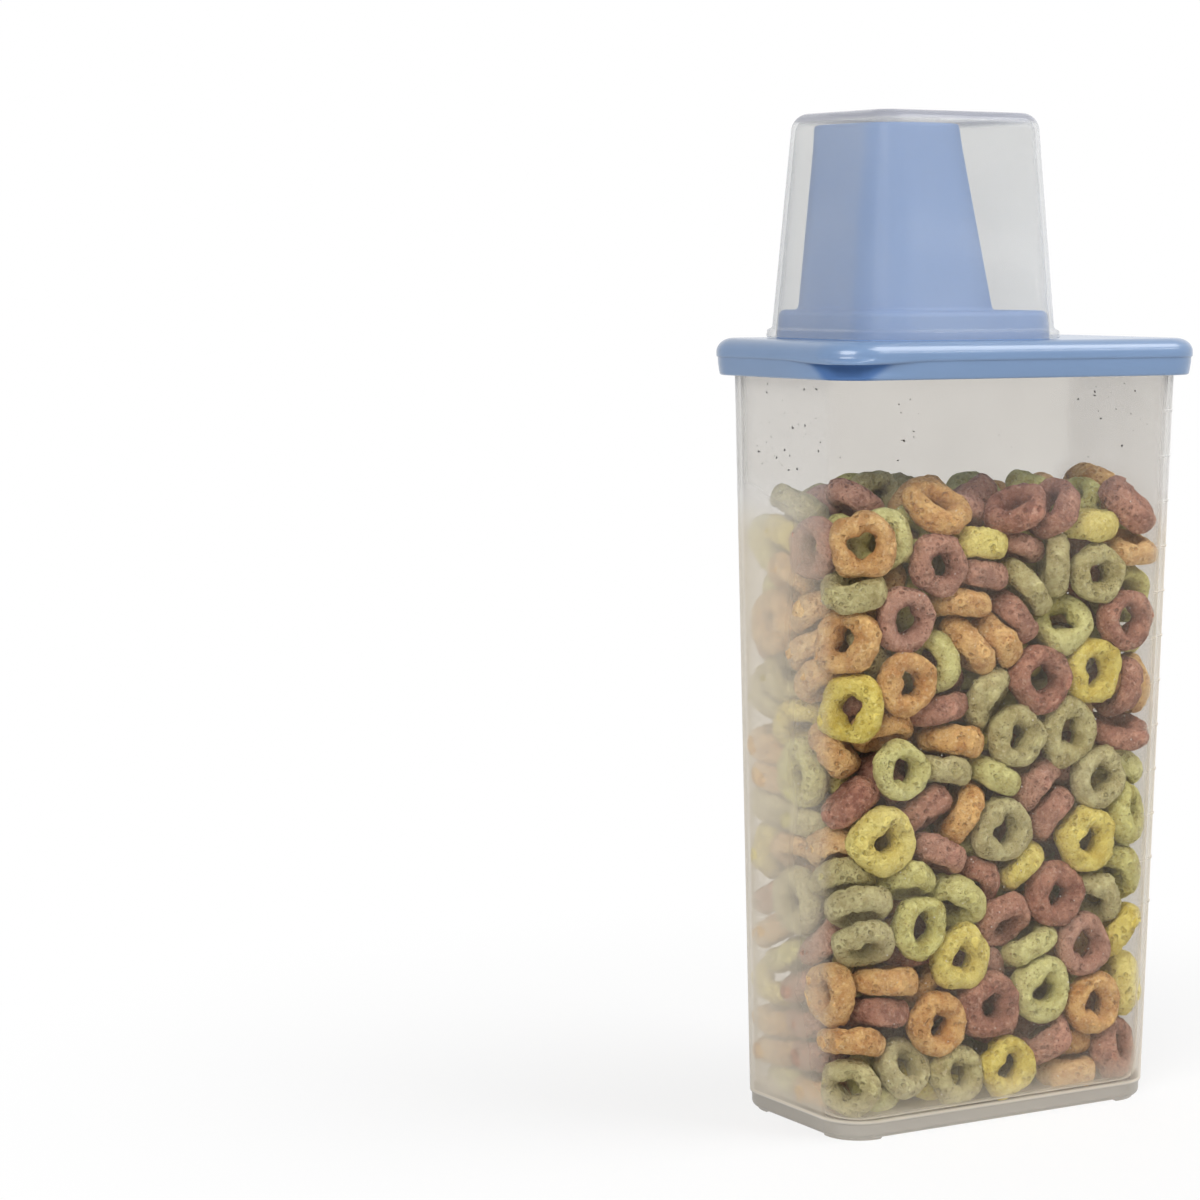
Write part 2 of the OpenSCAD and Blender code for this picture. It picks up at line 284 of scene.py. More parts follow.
def mark_rings():
    """Rings of the outer wall round the level marks, which wrap the front right corner."""
    rings = []
    full = MARK_H / 2 - MARK_EASE
    profile = ((-MARK_H / 2, 0), (-full, 1), (full, 1), (MARK_H / 2, 0))
    for mark in range(MARK_COUNT):
        middle = MARK_TOP_Z - (MARK_COUNT - 1 - mark) * MARK_PITCH
        for rise, share in profile:
            z = middle + rise
            growth = container_growth(z) - container_growth(RIM_Z)
            flat = container_plan(z, 0)
            raised = container_plan(z, MARK_OUT * share)
            away = flat - (RIM_W / 2 + growth - CORNER_R, CORNER_R - RIM_D / 2 - growth)
            turn = np.degrees(np.arctan2(away[:, 1], away[:, 0])) % 360
            corner = (away[:, 0] > 0) & (away[:, 1] < 0) & (turn > MARK_FROM) & (turn < MARK_TO)
            rings.append(ring(z, np.where(corner[:, None], raised, flat)))
    return rings


def container_shell():
    foot_edge = -BAND_INSET - BAND_ROUND
    inner_foot = container_plan(FOOT_H, -BAND_T)
    outer_foot = container_plan(FOOT_H, foot_edge)
    rings = [
        container_ring(FLOOR_UNDER_Z, -BAND_T - UNDER_EDGE),
        container_ring(FLOOR_UNDER_Z - UNDER_EDGE, -BAND_T),
        ring(FOOT_H, inner_foot),
        ring(foot_heights(inner_foot), inner_foot),
        ring(foot_heights(outer_foot), outer_foot),
    ]
    for rise, inset in reversed(rounded(BAND_ROUND, BAND_ROUND)):
        rings.append(container_ring(FOOT_H + BAND_ROUND - rise, -BAND_INSET - inset))
    rings += [container_ring(LEDGE_Z + rise, -BAND_INSET * share) for rise, share in LEDGE_EDGE]
    rings += mark_rings()
    rings += [
        container_ring(RIM_Z - RIM_H, 0),
        container_ring(RIM_Z - RIM_H + RIM_OUT, RIM_OUT),
        container_ring(RIM_Z - RIM_EDGE, RIM_OUT),
        container_ring(RIM_Z, RIM_OUT - RIM_EDGE),
        container_ring(RIM_Z, INNER_EDGE - WALL),
        container_ring(RIM_Z - INNER_EDGE, -WALL),
    ]
    for rise, inset in rounded(FLOOR_ROUND, FLOOR_ROUND):
        rings.append(container_ring(FLOOR_Z + FLOOR_ROUND - rise, -WALL - inset))
    return loft("container_moulding", rings)


# ---- lid ---------------------------------------------------------------------------------------


def side_stops(half, pitch):
    """Four stops on a straight side, a pitch apart from its end at half inwards."""
    return [half - i * pitch for i in (4, 3, 2, 1)]


def lid_plan(offset, tab=0.0):
    """The lid's outline. tab is how far its front left corner goes from the lid's own radius
    to the finger tab's squarer one."""
    radius = LID_R + offset
    corner = radius + (TAB_R - LID_R) * tab
    stops_x = side_stops(LID_W / 2 - LID_R, STOP_PITCH)
    stops_y = side_stops(LID_D / 2 - LID_R, STOP_PITCH)
    width = LID_W + 2 * offset
    depth = LID_D + 2 * offset
    return outline(width, depth, [radius, radius, corner, radius], stops_x, stops_y)


def tab_share(plan):
    """1 at the lid's front left corner, easing to 0 along the sides."""
    corner = np.array([-LID_W / 2, -LID_D / 2])
    away = np.linalg.norm(plan - corner, axis=1) - TAB_FULL
    near = np.clip(1 - away / TAB_REACH, 0, 1)
    return near * near * (3 - 2 * near)


def lid_ring(z, offset, tab=0.0, dip=0.0, scoop=0.0):
    """One section of the lid, which may dip and be scooped out at the finger tab."""
    plan = lid_plan(offset, tab)
    share = tab_share(plan)
    scooped = lid_plan(offset - scoop, tab)
    plan = plan + (scooped - plan) * (share * share)[:, None]
    return ring(z - dip * share, plan)


def neck_plan(offset):
    """The collar's outline, which follows the inside of the cup, at the lid's top."""
    grown = 2 * (offset - CUP_WALL - CUP_CLEAR)
    radius = CUP_R + grown / 2
    stops_x = side_stops((CUP_W + grown) / 2 - radius, NECK_STOP)
    stops_y = side_stops((CUP_D + grown) / 2 - radius, NECK_STOP)
    return outline(CUP_W + grown, CUP_D + grown, [radius] * 4, stops_x, stops_y)


def plug_ring(z, offset):
    """One section of the plug, inside the container's wall."""
    grown = 2 * (container_growth(z) - container_growth(RIM_Z) + offset - WALL - PLUG_CLEAR)
    radius = CORNER_R + offset - WALL - PLUG_CLEAR
    stops_x = side_stops(RIM_W / 2 - CORNER_R, STOP_PITCH)
    stops_y = side_stops(RIM_D / 2 - CORNER_R, STOP_PITCH)
    return ring(z, outline(RIM_W + grown, RIM_D + grown, [radius] * 4, stops_x, stops_y))


def lid():
    hole = neck_plan(NECK_CLEAR - COLLAR_REST)
    skirt = -BEAD_STEP
    rings = [ring(PANEL_UNDER_Z, hole, CUP_X), ring(LID_TOP_Z, hole, CUP_X)]
    for rise, inset in reversed(rounded(LID_TOP_Z - BEAD_LOW_Z - BEAD_SIDE, BEAD_IN, BEAD_STEPS)):
        rings.append(lid_ring(BEAD_LOW_Z + BEAD_SIDE + rise, -inset))
    for rise, offset, tab, dip in BEAD_EDGE:
        rings.append(lid_ring(BEAD_LOW_Z + rise, offset, tab, TAB_DIP * dip))
    rings += [
        lid_ring(BEAD_LOW_Z, skirt, 0, TAB_DIP, TAB_SCOOP),
        lid_ring(BEAD_LOW_Z - SCOOP_DEEP, skirt - SKIRT_TURN * 0.2, 0, 0, TAB_SCOOP),
        lid_ring(SKIRT_LOW_Z + SCOOP_END, skirt - SKIRT_TURN * 0.7, 0, 0, TAB_SCOOP / 2),
    ]
    for rise, inset in rounded(SKIRT_EDGE_H, SKIRT_EDGE_IN, SKIRT_STEPS):
        rings.append(lid_ring(SKIRT_LOW_Z + SKIRT_EDGE_H - rise, skirt - SKIRT_TURN - inset))
    rings += [
        lid_ring(SKIRT_LOW_Z + LID_BEVEL, -SKIRT_T),
        lid_ring(PANEL_UNDER_Z - LID_BEVEL, -SKIRT_T),
        lid_ring(PANEL_UNDER_Z, -SKIRT_T - LID_BEVEL),
        plug_ring(PANEL_UNDER_Z, 0),
        plug_ring(PLUG_LOW_Z + PLUG_TIP_H, 0),
        plug_ring(PLUG_LOW_Z, -PLUG_TIP_IN),
        plug_ring(PLUG_LOW_Z, -PLUG_T),
        plug_ring(PANEL_UNDER_Z, -PLUG_T),
    ]
    return loft("lid_moulding", rings, closed=True)


# ---- cup and spout -------------------------------------------------------------------------------


def cup_ring(z, offset):
    grown = offset - (z - cup_low.z) * CUP_DRAFT
    plan = outline(CUP_W + 2 * grown, CUP_D + 2 * grown, [CUP_R + grown] * 4)
    return ring(z, plan, CUP_X)


def cup():
    inner_round = CUP_ROUND - CUP_WALL
    inner_top_z = cup_high.z - CUP_TOP_T
    lip_z = cup_low.z + CUP_LIP_H
    rings = [
        cup_ring(inner_top_z - inner_round + rise, -CUP_WALL - inset)
        for rise, inset in reversed(rounded(inner_round, inner_round, CUP_INNER_STEPS))
    ]
    rings += [
        cup_ring(cup_low.z + CUP_EDGE, -CUP_WALL),
        cup_ring(cup_low.z, CUP_EDGE - CUP_WALL),
        cup_ring(cup_low.z, CUP_LIP_OUT - CUP_EDGE),
        cup_ring(cup_low.z + CUP_EDGE, CUP_LIP_OUT),
    ]
    rings += [cup_ring(lip_z + rise, CUP_LIP_OUT * share) for rise, share in LIP_EASE]
    for rise, inset in rounded(CUP_ROUND, CUP_ROUND, CUP_OUTER_STEPS):
        rings.append(cup_ring(cup_high.z - CUP_ROUND + rise, -inset))
    return loft("cup_moulding", rings)


def collar_ring(z, offset):
    return cup_ring(z, offset - CUP_WALL - CUP_CLEAR)


def spout_ring(z, offset):
    share = (z - COLLAR_Z) / (spout_high.z - COLLAR_Z)
    width, depth, radius, x = (b + (m - b) * share for b, m in zip(SPOUT_BASE, SPOUT_MOUTH))
    return ring(z, outline(width + 2 * offset, depth + 2 * offset, [radius + offset] * 4), x)


def spout():
    neck = -COLLAR_REST
    snap_z = PANEL_UNDER_Z - SNAP_CLEAR
    top_z = spout_high.z
    under_z = COLLAR_Z - SPOUT_WALL
    rings = [
        collar_ring(spout_low.z, neck),
        collar_ring(snap_z - SNAP_LOW, neck),
        collar_ring(snap_z - SNAP_FLAT, neck + SNAP_OUT),
        collar_ring(snap_z, neck + SNAP_OUT),
        collar_ring(snap_z, neck),
        collar_ring(LID_TOP_Z, neck),
        collar_ring(LID_TOP_Z, 0),
    ]
    for rise, inset in rounded(COLLAR_ROUND, COLLAR_ROUND):
        rings.append(collar_ring(COLLAR_Z - COLLAR_ROUND + rise, -inset))
    for rise, inset in reversed(rounded(SPOUT_FOOT_H, SPOUT_FOOT_OUT, SPOUT_FOOT_STEPS)):
        rings.append(spout_ring(COLLAR_Z + SPOUT_FOOT_H - rise, inset))
    rings += [spout_ring(top_z - drop, MOUTH_BEAD * share) for drop, share in MOUTH_OUTSIDE]
    rings += [spout_ring(top_z - drop, -SPOUT_WALL * share) for drop, share in MOUTH_INSIDE]
    rings += [
        spout_ring(under_z + UNDER_ROUND, -SPOUT_WALL),
        collar_ring(under_z, -SPOUT_WALL - COLLAR_REST),
        collar_ring(spout_low.z, neck - SPOUT_WALL),
    ]
    return loft("spout_moulding", rings, closed=True)


# ---- cereal --------------------------------------------------------------------------------------

LOOP_R = 8.6 * MM
LOOP_HOLE_R = 3.2 * MM
LOOP_T = 7.7 * MM
LOOP_COUNT = 380
LOOP_SHAPES = 12
LOOP_AROUND = 36
LOOP_ACROSS = 16
LOOP_SQUARE = 0.92
LOOP_UNEVEN = 0.08
LUMP_SIZE = 4.2 * MM
LUMP_SHARE = 0.15
DENT_SIZE = 1.9 * MM
DENT_FROM = 0.22
DENT_SHARE = 0.7
HOLE_SPREAD = (0.85, 1.15)
OUTER_SPREAD = (0.99, 1.07)
THICK_SPREAD = (0.86, 1.04)
OUTER_WAVES = ((2, 3, 4, 5), 0.01, 0.045)
HOLE_WAVES = ((2, 3, 4), 0.05, 0.16)
PHASE_MOST = 6.3
# The settling runs a hundred times larger, because rigid bodies this small don't rest well.
SETTLE_SCALE = 100
SETTLE_FRAMES = 100
SETTLE_GRAVITY = 98.0
SETTLE_SWAY = 0.9
SETTLE_SWAY_FRAMES = 16
SETTLE_GAP = 0.15 * MM
SLAB_T = 4.0
SLAB_W = 60
SLAB_H = 90
SLAB_MIDDLE_Z = 40
DISC_PROFILE = ((0.72, -1), (0.95, -0.55), (1, 0), (0.95, 0.55), (0.72, 1))
DISC_SIDES = 14
DROP_COLUMNS = 5
DROP_ROWS = 2
DROP_ACROSS = 1.95
DROP_DEEP = 2.4
DROP_START = 1.2
DROP_JITTER_X = 0.12
DROP_JITTER_Y = 0.2
DROP_SCALE = (0.93, 1.04)
BODY_SETTINGS = {
    "friction": 0.3,
    "restitution": 0.25,
    "use_margin": True,
    "collision_margin": 0.01,
    "angular_damping": 0.1,
}
FLAVOURS = {
    "plum": 0.3,
    "olive": 0.14,
    "lime": 0.16,
    "lemon": 0.11,
    "orange": 0.29,
}


def wobble(chance, waves, least, most):
    """(waves round the loop, height, phase) of the ripples that make its outline uneven."""
    return [(k, chance.uniform(least, most), chance.uniform(0, PHASE_MOST)) for k in waves]


def loop_shape(seed):
    """Points of one puffed loop, lumpy and uneven, about its own middle."""
    chance = random.Random(seed)
    shift = Vector([chance.uniform(-50, 50) for _ in range(3)])
    hole = LOOP_HOLE_R * chance.uniform(*HOLE_SPREAD)
    outer = LOOP_R * chance.uniform(*OUTER_SPREAD)
    thick = LOOP_T * chance.uniform(*THICK_SPREAD)
    outer_wobble = wobble(chance, *OUTER_WAVES)
    hole_wobble = wobble(chance, *HOLE_WAVES)
    tilt = chance.uniform(0, PHASE_MOST)
    points = []
    for i in range(LOOP_AROUND):
        a = math.tau * i / LOOP_AROUND
        outside = outer * (1 + sum(s * math.sin(k * a + p) for k, s, p in outer_wobble))
        inside = hole * (1 + sum(s * math.sin(k * a + p) for k, s, p in hole_wobble))
        middle = (outside + inside) / 2
        half = (outside - inside) / 2
        height = thick / 2 * (1 + LOOP_UNEVEN * math.sin(a + tilt))
        for j in range(LOOP_ACROSS):
            b = math.tau * j / LOOP_ACROSS
            reach = middle + half * math.cos(b)
            rise = height * math.copysign(abs(math.sin(b)) ** LOOP_SQUARE, math.sin(b))
            point = Vector((reach * math.cos(a), reach * math.sin(a), rise))
            lump = noise.fractal(point / LUMP_SIZE + shift, 0.7, 2.1, 3)
            dent = max(0.0, noise.noise(point / DENT_SIZE - shift) - DENT_FROM)
            core = Vector((middle * math.cos(a), middle * math.sin(a), 0))
            points.append(core + (point - core) * (1 + LUMP_SHARE * lump - DENT_SHARE * dent))
    return np.array(points)


def loop_faces():
    faces = []
    for i in range(LOOP_AROUND):
        for j in range(LOOP_ACROSS):
            ahead = (i + 1) % LOOP_AROUND * LOOP_ACROSS
            here = i * LOOP_ACROSS
            k = (j + 1) % LOOP_ACROSS
            faces.append((here + j, ahead + j, ahead + k, here + k))
    return np.array(faces)


def settling_disc():
    """The plain hull that stands for a loop while it falls."""
    mesh = bpy.data.meshes.new("settling_disc")
    radius = LOOP_R * SETTLE_SCALE
    half = LOOP_T / 2 * SETTLE_SCALE
    hull = bmesh.new()
    corners = []
    for share, rise in DISC_PROFILE:
        for i in range(DISC_SIDES):
            turn = math.tau * i / DISC_SIDES
            corner = (share * radius * math.cos(turn), share * radius * math.sin(turn), rise * half)
            corners.append(hull.verts.new(corner))
    bmesh.ops.convex_hull(hull, input=corners)
    hull.to_mesh(mesh)
    hull.free()
    return mesh


def settling_slabs():
    """Thick slabs that stand for the container's floor, walls and corners while the loops fall."""
    inside = WALL + SETTLE_GAP
    growth = container_growth(RIM_Z)
    half_w = (RIM_W / 2 - growth - inside) * SETTLE_SCALE
    half_d = (RIM_D / 2 - growth - inside) * SETTLE_SCALE
    corner = (CORNER_R - inside) * SETTLE_SCALE
    cut = corner * (math.sqrt(2) - 1)
    walls = [(0, half_w), (90, half_d), (180, half_w), (270, half_d)]
    walls += [(turn, (half_w + half_d) / math.sqrt(2) - cut) for turn in (45, 135, 225, 315)]
    under = Matrix.Translation((0, 0, FLOOR_Z * SETTLE_SCALE - SLAB_T / 2))
    slabs = [(under, (SLAB_W, SLAB_W, SLAB_T))]
    leant = Matrix.Rotation(math.atan(DRAFT), 4, "Y")
    outward = Matrix.Translation((SLAB_T / 2, 0, SLAB_MIDDLE_Z))
    for turn, away in walls:
        turned = Matrix.Rotation(math.radians(turn), 4, "Z")
        placed = turned @ Matrix.Translation((away, 0, 0)) @ leant @ outward
        slabs.append((placed, (SLAB_T, SLAB_W, SLAB_H)))
    return slabs


def settled_loops():
    """Drops the loops into the container with rigid bodies and returns where each one rests."""
    chance = random.Random(7)
    scene = bpy.context.scene
    gravity = scene.gravity.copy()
    scene.gravity = (0, 0, -SETTLE_GRAVITY)
    bpy.ops.rigidbody.world_add()
    settling = scene.rigidbody_world
    settling.substeps_per_frame = 10
    settling.solver_iterations = 10
    settling.point_cache.frame_end = SETTLE_FRAMES
    disc = settling_disc()
    falling = []
    for i in range(LOOP_COUNT):
        loop = bpy.data.objects.new("settling", disc)
        layer, cell = divmod(i, DROP_COLUMNS * DROP_ROWS)
        column, row = divmod(cell, DROP_ROWS)
        loop.location = (
            (column - (DROP_COLUMNS - 1) / 2) * DROP_ACROSS + chance.uniform(-DROP_JITTER_X, DROP_JITTER_X),
            (row - (DROP_ROWS - 1) / 2) * DROP_DEEP + chance.uniform(-DROP_JITTER_Y, DROP_JITTER_Y),
            FLOOR_Z * SETTLE_SCALE + DROP_START + layer * DROP_ACROSS,
        )
        loop.rotation_euler = [chance.uniform(0, math.tau) for _ in range(3)]
        loop.scale = [chance.uniform(*DROP_SCALE)] * 3
        falling.append(loop)
    still = []
    for placed, size in settling_slabs():
        mesh = bpy.data.meshes.new("settling_slab")
        block = bmesh.new()
        bmesh.ops.create_cube(block, size=1, matrix=Matrix.Diagonal((*size, 1)))
        block.to_mesh(mesh)
        block.free()
        slab = bpy.data.objects.new("settling", mesh)
        slab.matrix_world = placed
        still.append(slab)
    for pieces, kind, shape in ((falling, "ACTIVE", "CONVEX_HULL"), (still, "PASSIVE", "BOX")):
        bpy.ops.object.select_all(action="DESELECT")
        for piece in pieces:
            scene.collection.objects.link(piece)
            piece.select_set(True)
        bpy.context.view_layer.objects.active = pieces[0]
        bpy.ops.rigidbody.objects_add(type=kind)
        for piece in pieces:
            piece.rigid_body.collision_shape = shape
            for name, setting in BODY_SETTINGS.items():
                setattr(piece.rigid_body, name, setting)
    for step in range(1, SETTLE_FRAMES + 1):
        sway = SETTLE_SWAY * math.sin(math.tau * step / SETTLE_SWAY_FRAMES)
        scene.gravity.y = -SETTLE_GRAVITY * sway * min(1, 2 * (1 - step / SETTLE_FRAMES))
        scene.frame_set(step)
    view = bpy.context.evaluated_depsgraph_get()
    rests = [loop.evaluated_get(view).matrix_world.copy() for loop in falling]
    for piece in falling + still:
        bpy.data.objects.remove(piece)
    bpy.ops.rigidbody.world_remove()
    scene.gravity = gravity
    scene.frame_set(1)
    return [Matrix.Scale(1 / SETTLE_SCALE, 4) @ rest @ Matrix.Scale(SETTLE_SCALE, 4) for rest in rests]


def cereal():
    """The loops in the container, one piece for each flavour."""
    chance = random.Random(11)
    shapes = [loop_shape(seed) for seed in range(LOOP_SHAPES)]
    faces = loop_faces()
    names = list(FLAVOURS)
    batches = {name: [] for name in names}
    heights = []
    for rest in settled_loops():
        points = chance.choice(shapes)
        turned = np.array(rest.to_3x3())
        placed = points @ turned.T + np.array(rest.translation)
        name = chance.choices(names, FLAVOURS.values())[0]
        inside = np.abs(placed).max(axis=0)
        if inside[0] < RIM_W / 2 and inside[1] < RIM_D / 2 and placed[:, 2].max() < PLUG_LOW_Z:
            batches[name].append((placed, chance.random()))
            heights.append(placed[:, 2].max())
    print("loops kept", len(heights), "highest", round(max(heights) / MM, 1))
    pieces = {}
    turns = math.tau * np.arange(LOOP_ACROSS) / LOOP_ACROSS
    hole_side = np.clip(-np.cos(turns), 0, 1)
    for name, batch in batches.items():
        points = np.concatenate([placed for placed, shade in batch])
        corners = np.concatenate([faces + i * len(shapes[0]) for i in range(len(batch))])
        mesh = bpy.data.meshes.new("cereal_" + name)
        mesh.from_pydata(points.tolist(), [], corners.tolist())
        mesh.polygons.foreach_set("use_smooth", [True] * len(mesh.polygons))
        shade = mesh.attributes.new("loop_shade", "FLOAT", "POINT")
        shade.data.foreach_set("value", np.repeat([s for _, s in batch], len(shapes[0])))
        # Painted shade on each loop's side that faces its hole.
        painted_shade = mesh.attributes.new("loop_hole_shade", "FLOAT", "POINT")
        painted_shade.data.foreach_set("value", np.tile(hole_side, LOOP_AROUND * len(batch)))
        piece = bpy.data.objects.new("cereal_" + name, mesh)
        bpy.context.scene.collection.objects.link(piece)
        pieces[name] = piece
    return pieces


def wall_point(side, along, z, lift):
    """A point a little way inside a wall. side is front, left, right or back."""
    growth = container_growth(z) - container_growth(RIM_Z)
    half_w = RIM_W / 2 + growth - WALL - lift
    half_d = RIM_D / 2 + growth - WALL - lift
    places = {
        "front": (along * (half_w - CORNER_R), -half_d),
        "back": (along * (half_w - CORNER_R), half_d),
        "left": (-half_w, along * (half_d - CORNER_R)),
        "right": (half_w, along * (half_d - CORNER_R)),
    }
    return Vector((*places[side], z))


def scatter(name, bits, seed):
    """One piece of small angular bits. bits are (place, size) pairs."""
    chance = random.Random(seed)
    mesh = bpy.data.meshes.new(name)
    grain = bmesh.new()
    for place, size in bits:
        turned = Euler([chance.uniform(0, math.tau) for _ in range(3)]).to_matrix().to_4x4()
        shape = Matrix.Diagonal((size, size * chance.uniform(0.5, 0.9), size * chance.uniform(0.4, 0.7), 1))
        made = bmesh.ops.create_icosphere(grain, subdivisions=1, radius=0.5, matrix=turned @ shape)
        for vert in made["verts"]:
            vert.co = vert.co * chance.uniform(0.75, 1.2) + place
    grain.to_mesh(mesh)
    grain.free()
    piece = bpy.data.objects.new(name, mesh)
    bpy.context.scene.collection.objects.link(piece)
    return piece


# Each wall's crumbs: from and to along the wall, from and to in height, in mm, and their number.
CRUMB_REGIONS = (
    ("left", -0.9, 0.9, 172, 195, 46),
    ("front", -1.0, -0.8, 176, 194, 8),
    ("front", 0.55, 1.0, 182, 194, 9),
    ("back", -1.0, 1.0, 172, 194, 10),
    ("right", -0.9, 0.9, 172, 194, 9),
)
CRUMB_SIZES = (0.3, 0.4, 0.5, 0.85)
SUGAR_COUNTS = (("front", 150), ("left", 70), ("back", 110), ("right", 60))
SUGAR_SIZES = (0.22, 0.5)
SUGAR_LOW = 8
SUGAR_RISE = 160
SUGAR_SINK = 1.3
GRAIN_LIFT = 0.3


def crumbs():
    """Dark crumbs that cling to the inside of the walls above the cereal."""
    chance = random.Random(23)
    bits = []
    for side, first, last, low, high, count in CRUMB_REGIONS:
        for _ in range(count):
            size = chance.choice(CRUMB_SIZES) * MM
            along = chance.uniform(first, last)
            z = chance.uniform(low, high) * MM
            bits.append((wall_point(side, along, z, size * GRAIN_LIFT), size))
    return scatter("crumbs", bits, 29)


def sugar():
    """Bright sugar grains on the inside of the walls."""
    chance = random.Random(31)
    bits = []
    for side, count in SUGAR_COUNTS:
        for _ in range(count):
            size = chance.uniform(*SUGAR_SIZES) * MM
            z = (SUGAR_LOW + SUGAR_RISE * chance.random() ** SUGAR_SINK) * MM
            bits.append((wall_point(side, chance.uniform(-1, 1), z, size * GRAIN_LIFT), size))
    return scatter("sugar", bits, 37)


# ---- shader writing ------------------------------------------------------------------------------


class Value:
    """A socket's output. Arithmetic on it adds the Math nodes that work it out."""

    def __init__(self, paint, socket):
        self.paint = paint
        self.socket = socket

    def reckon(self, operation, *operands):
        return self.paint.node("ShaderNodeMath", {"operation": operation}, dict(enumerate(operands)))

    def __add__(self, other):
        return self.reckon("ADD", self, other)

    def __radd__(self, other):
        return self.reckon("ADD", other, self)

    def __sub__(self, other):
        return self.reckon("SUBTRACT", self, other)

    def __rsub__(self, other):
        return self.reckon("SUBTRACT", other, self)

    def __mul__(self, other):
        return self.reckon("MULTIPLY", self, other)

    def __rmul__(self, other):
        return self.reckon("MULTIPLY", other, self)

    def __pow__(self, other):
        return self.reckon("POWER", self, other)

    def clamped(self):
        return self.reckon("MINIMUM", self.reckon("MAXIMUM", self, 0.0), 1.0)


class Paint:
    """Writes the nodes of one material or of the world."""

    def __init__(self, name=None, tree=None):
        self.material = bpy.data.materials.new(name) if name else None
        if self.material:
            self.material.use_nodes = True
        self.tree = tree or self.material.node_tree
        self.tree.nodes.clear()

    def node(self, kind, settings=None, inputs=None, output=0):
        """Adds a node: its settings first, then the values or links of its inputs."""
        made = self.tree.nodes.new(kind)
        for name, setting in (settings or {}).items():
            setattr(made, name, setting)
        for name, value in (inputs or {}).items():
            if isinstance(value, Value):
                self.tree.links.new(value.socket, made.inputs[name])
            elif isinstance(value, tuple) and made.inputs[name].type == "RGBA":
                made.inputs[name].default_value = (*value, 1)
            else:
                made.inputs[name].default_value = value
        return Value(self, made.outputs[output]) if made.outputs else None

    def place(self):
        return self.node("ShaderNodeTexCoord", output=3)

    def noise(self, scale, detail=2.0, rough=0.5):
        inputs = {"Vector": self.place(), "Scale": scale, "Detail": detail, "Roughness": rough}
        return self.node("ShaderNodeTexNoise", inputs=inputs)

    def cells(self, scale):
        inputs = {"Vector": self.place(), "Scale": scale}
        return self.node("ShaderNodeTexVoronoi", {"feature": "F1"}, inputs)

    def axis(self, number, vector=None):
        """One part of a vector, or of the place on the piece: 0 across, 1 to the back, 2 up."""
        return self.node("ShaderNodeSeparateXYZ", inputs={0: vector or self.place()}, output=number)

    def vector(self, operation, *operands, output=0):
        inputs = dict(enumerate(operands))
        return self.node("ShaderNodeVectorMath", {"operation": operation}, inputs, output)

    def between(self, value, low, high):
        """0 where value is under low, 1 where it is over high, and smooth between them."""
        inputs = {"Value": value, "From Min": low, "From Max": high}
        return self.node("ShaderNodeMapRange", {"interpolation_type": "SMOOTHSTEP"}, inputs)

    def colour(self, factor, first, second):
        return self.node("ShaderNodeMix", {"data_type": "RGBA"}, {0: factor, 6: first, 7: second}, 2)

    def mixed(self, factor, first, second):
        return self.node("ShaderNodeMixShader", inputs={0: factor, 1: first, 2: second})

    def bump(self, height, distance, strength=1.0):
        inputs = {"Height": height, "Distance": distance, "Strength": strength}
        return self.node("ShaderNodeBump", inputs=inputs)

    def plastic(self, **inputs):
        named = {name.replace("_", " ").title(): value for name, value in inputs.items()}
        if "Ior" in named:
            named["IOR"] = named.pop("Ior")
        return self.node("ShaderNodeBsdfPrincipled", inputs=named)

    def facing(self):
        """0 where the surface is seen square on, 1 at a grazing angle."""
        return self.node("ShaderNodeLayerWeight", inputs={"Blend": 0.5}, output=1)

    def clear(self, tint):
        return self.node("ShaderNodeBsdfTransparent", inputs={"Color": tint})

    def ray(self, kind):
        made = self.node("ShaderNodeLightPath")
        return Value(self, made.socket.node.outputs[kind])

    def light_ray(self):
        """1 for the rays that carry light from a lamp or from a lit surface."""
        shadow = self.ray("Is Shadow Ray")
        return shadow.reckon("MAXIMUM", shadow, self.ray("Is Diffuse Ray"))

    def looked_at(self):
        """1 for the rays that see a thing straight, through glass or in a mirror."""
        return self.ray("Is Camera Ray") + self.ray("Is Transmission Ray") + self.ray("Is Glossy Ray")

    def finish(self, surface):
        self.node("ShaderNodeOutputMaterial", inputs={"Surface": surface})
        return self.material


# ---- finishes ------------------------------------------------------------------------------------

# Painted shade in the finger tab's scoop: how far it reaches and fades, its edge under the bead, how it
# narrows downwards, and the dark blue laid on there.
HOLLOW_REACH = 18 * MM
HOLLOW_FADE = 4 * MM
HOLLOW_EDGE = 0.1 * MM
HOLLOW_NARROWING = 1.6
SCOOP_SHADE_BLUE = (0.035, 0.11, 0.3)


def tab_shade_mask(paint):
    """Where shade is painted in the finger tab's scoop: 1 deep in it, which narrows downwards, and 0
    outside it.
    """
    away = paint.vector("SUBTRACT", paint.place(), (-LID_W / 2, -LID_D / 2, BEAD_LOW_Z - TAB_DIP))
    drop = paint.axis(2, away)
    level = paint.vector("MULTIPLY", away, (1, 1, 0))
    reach = paint.vector("LENGTH", level, output=1) - drop * HOLLOW_NARROWING
    under_bead = paint.between(drop, HOLLOW_EDGE, -HOLLOW_EDGE)
    return paint.between(reach, HOLLOW_REACH, HOLLOW_REACH - HOLLOW_FADE) * under_bead


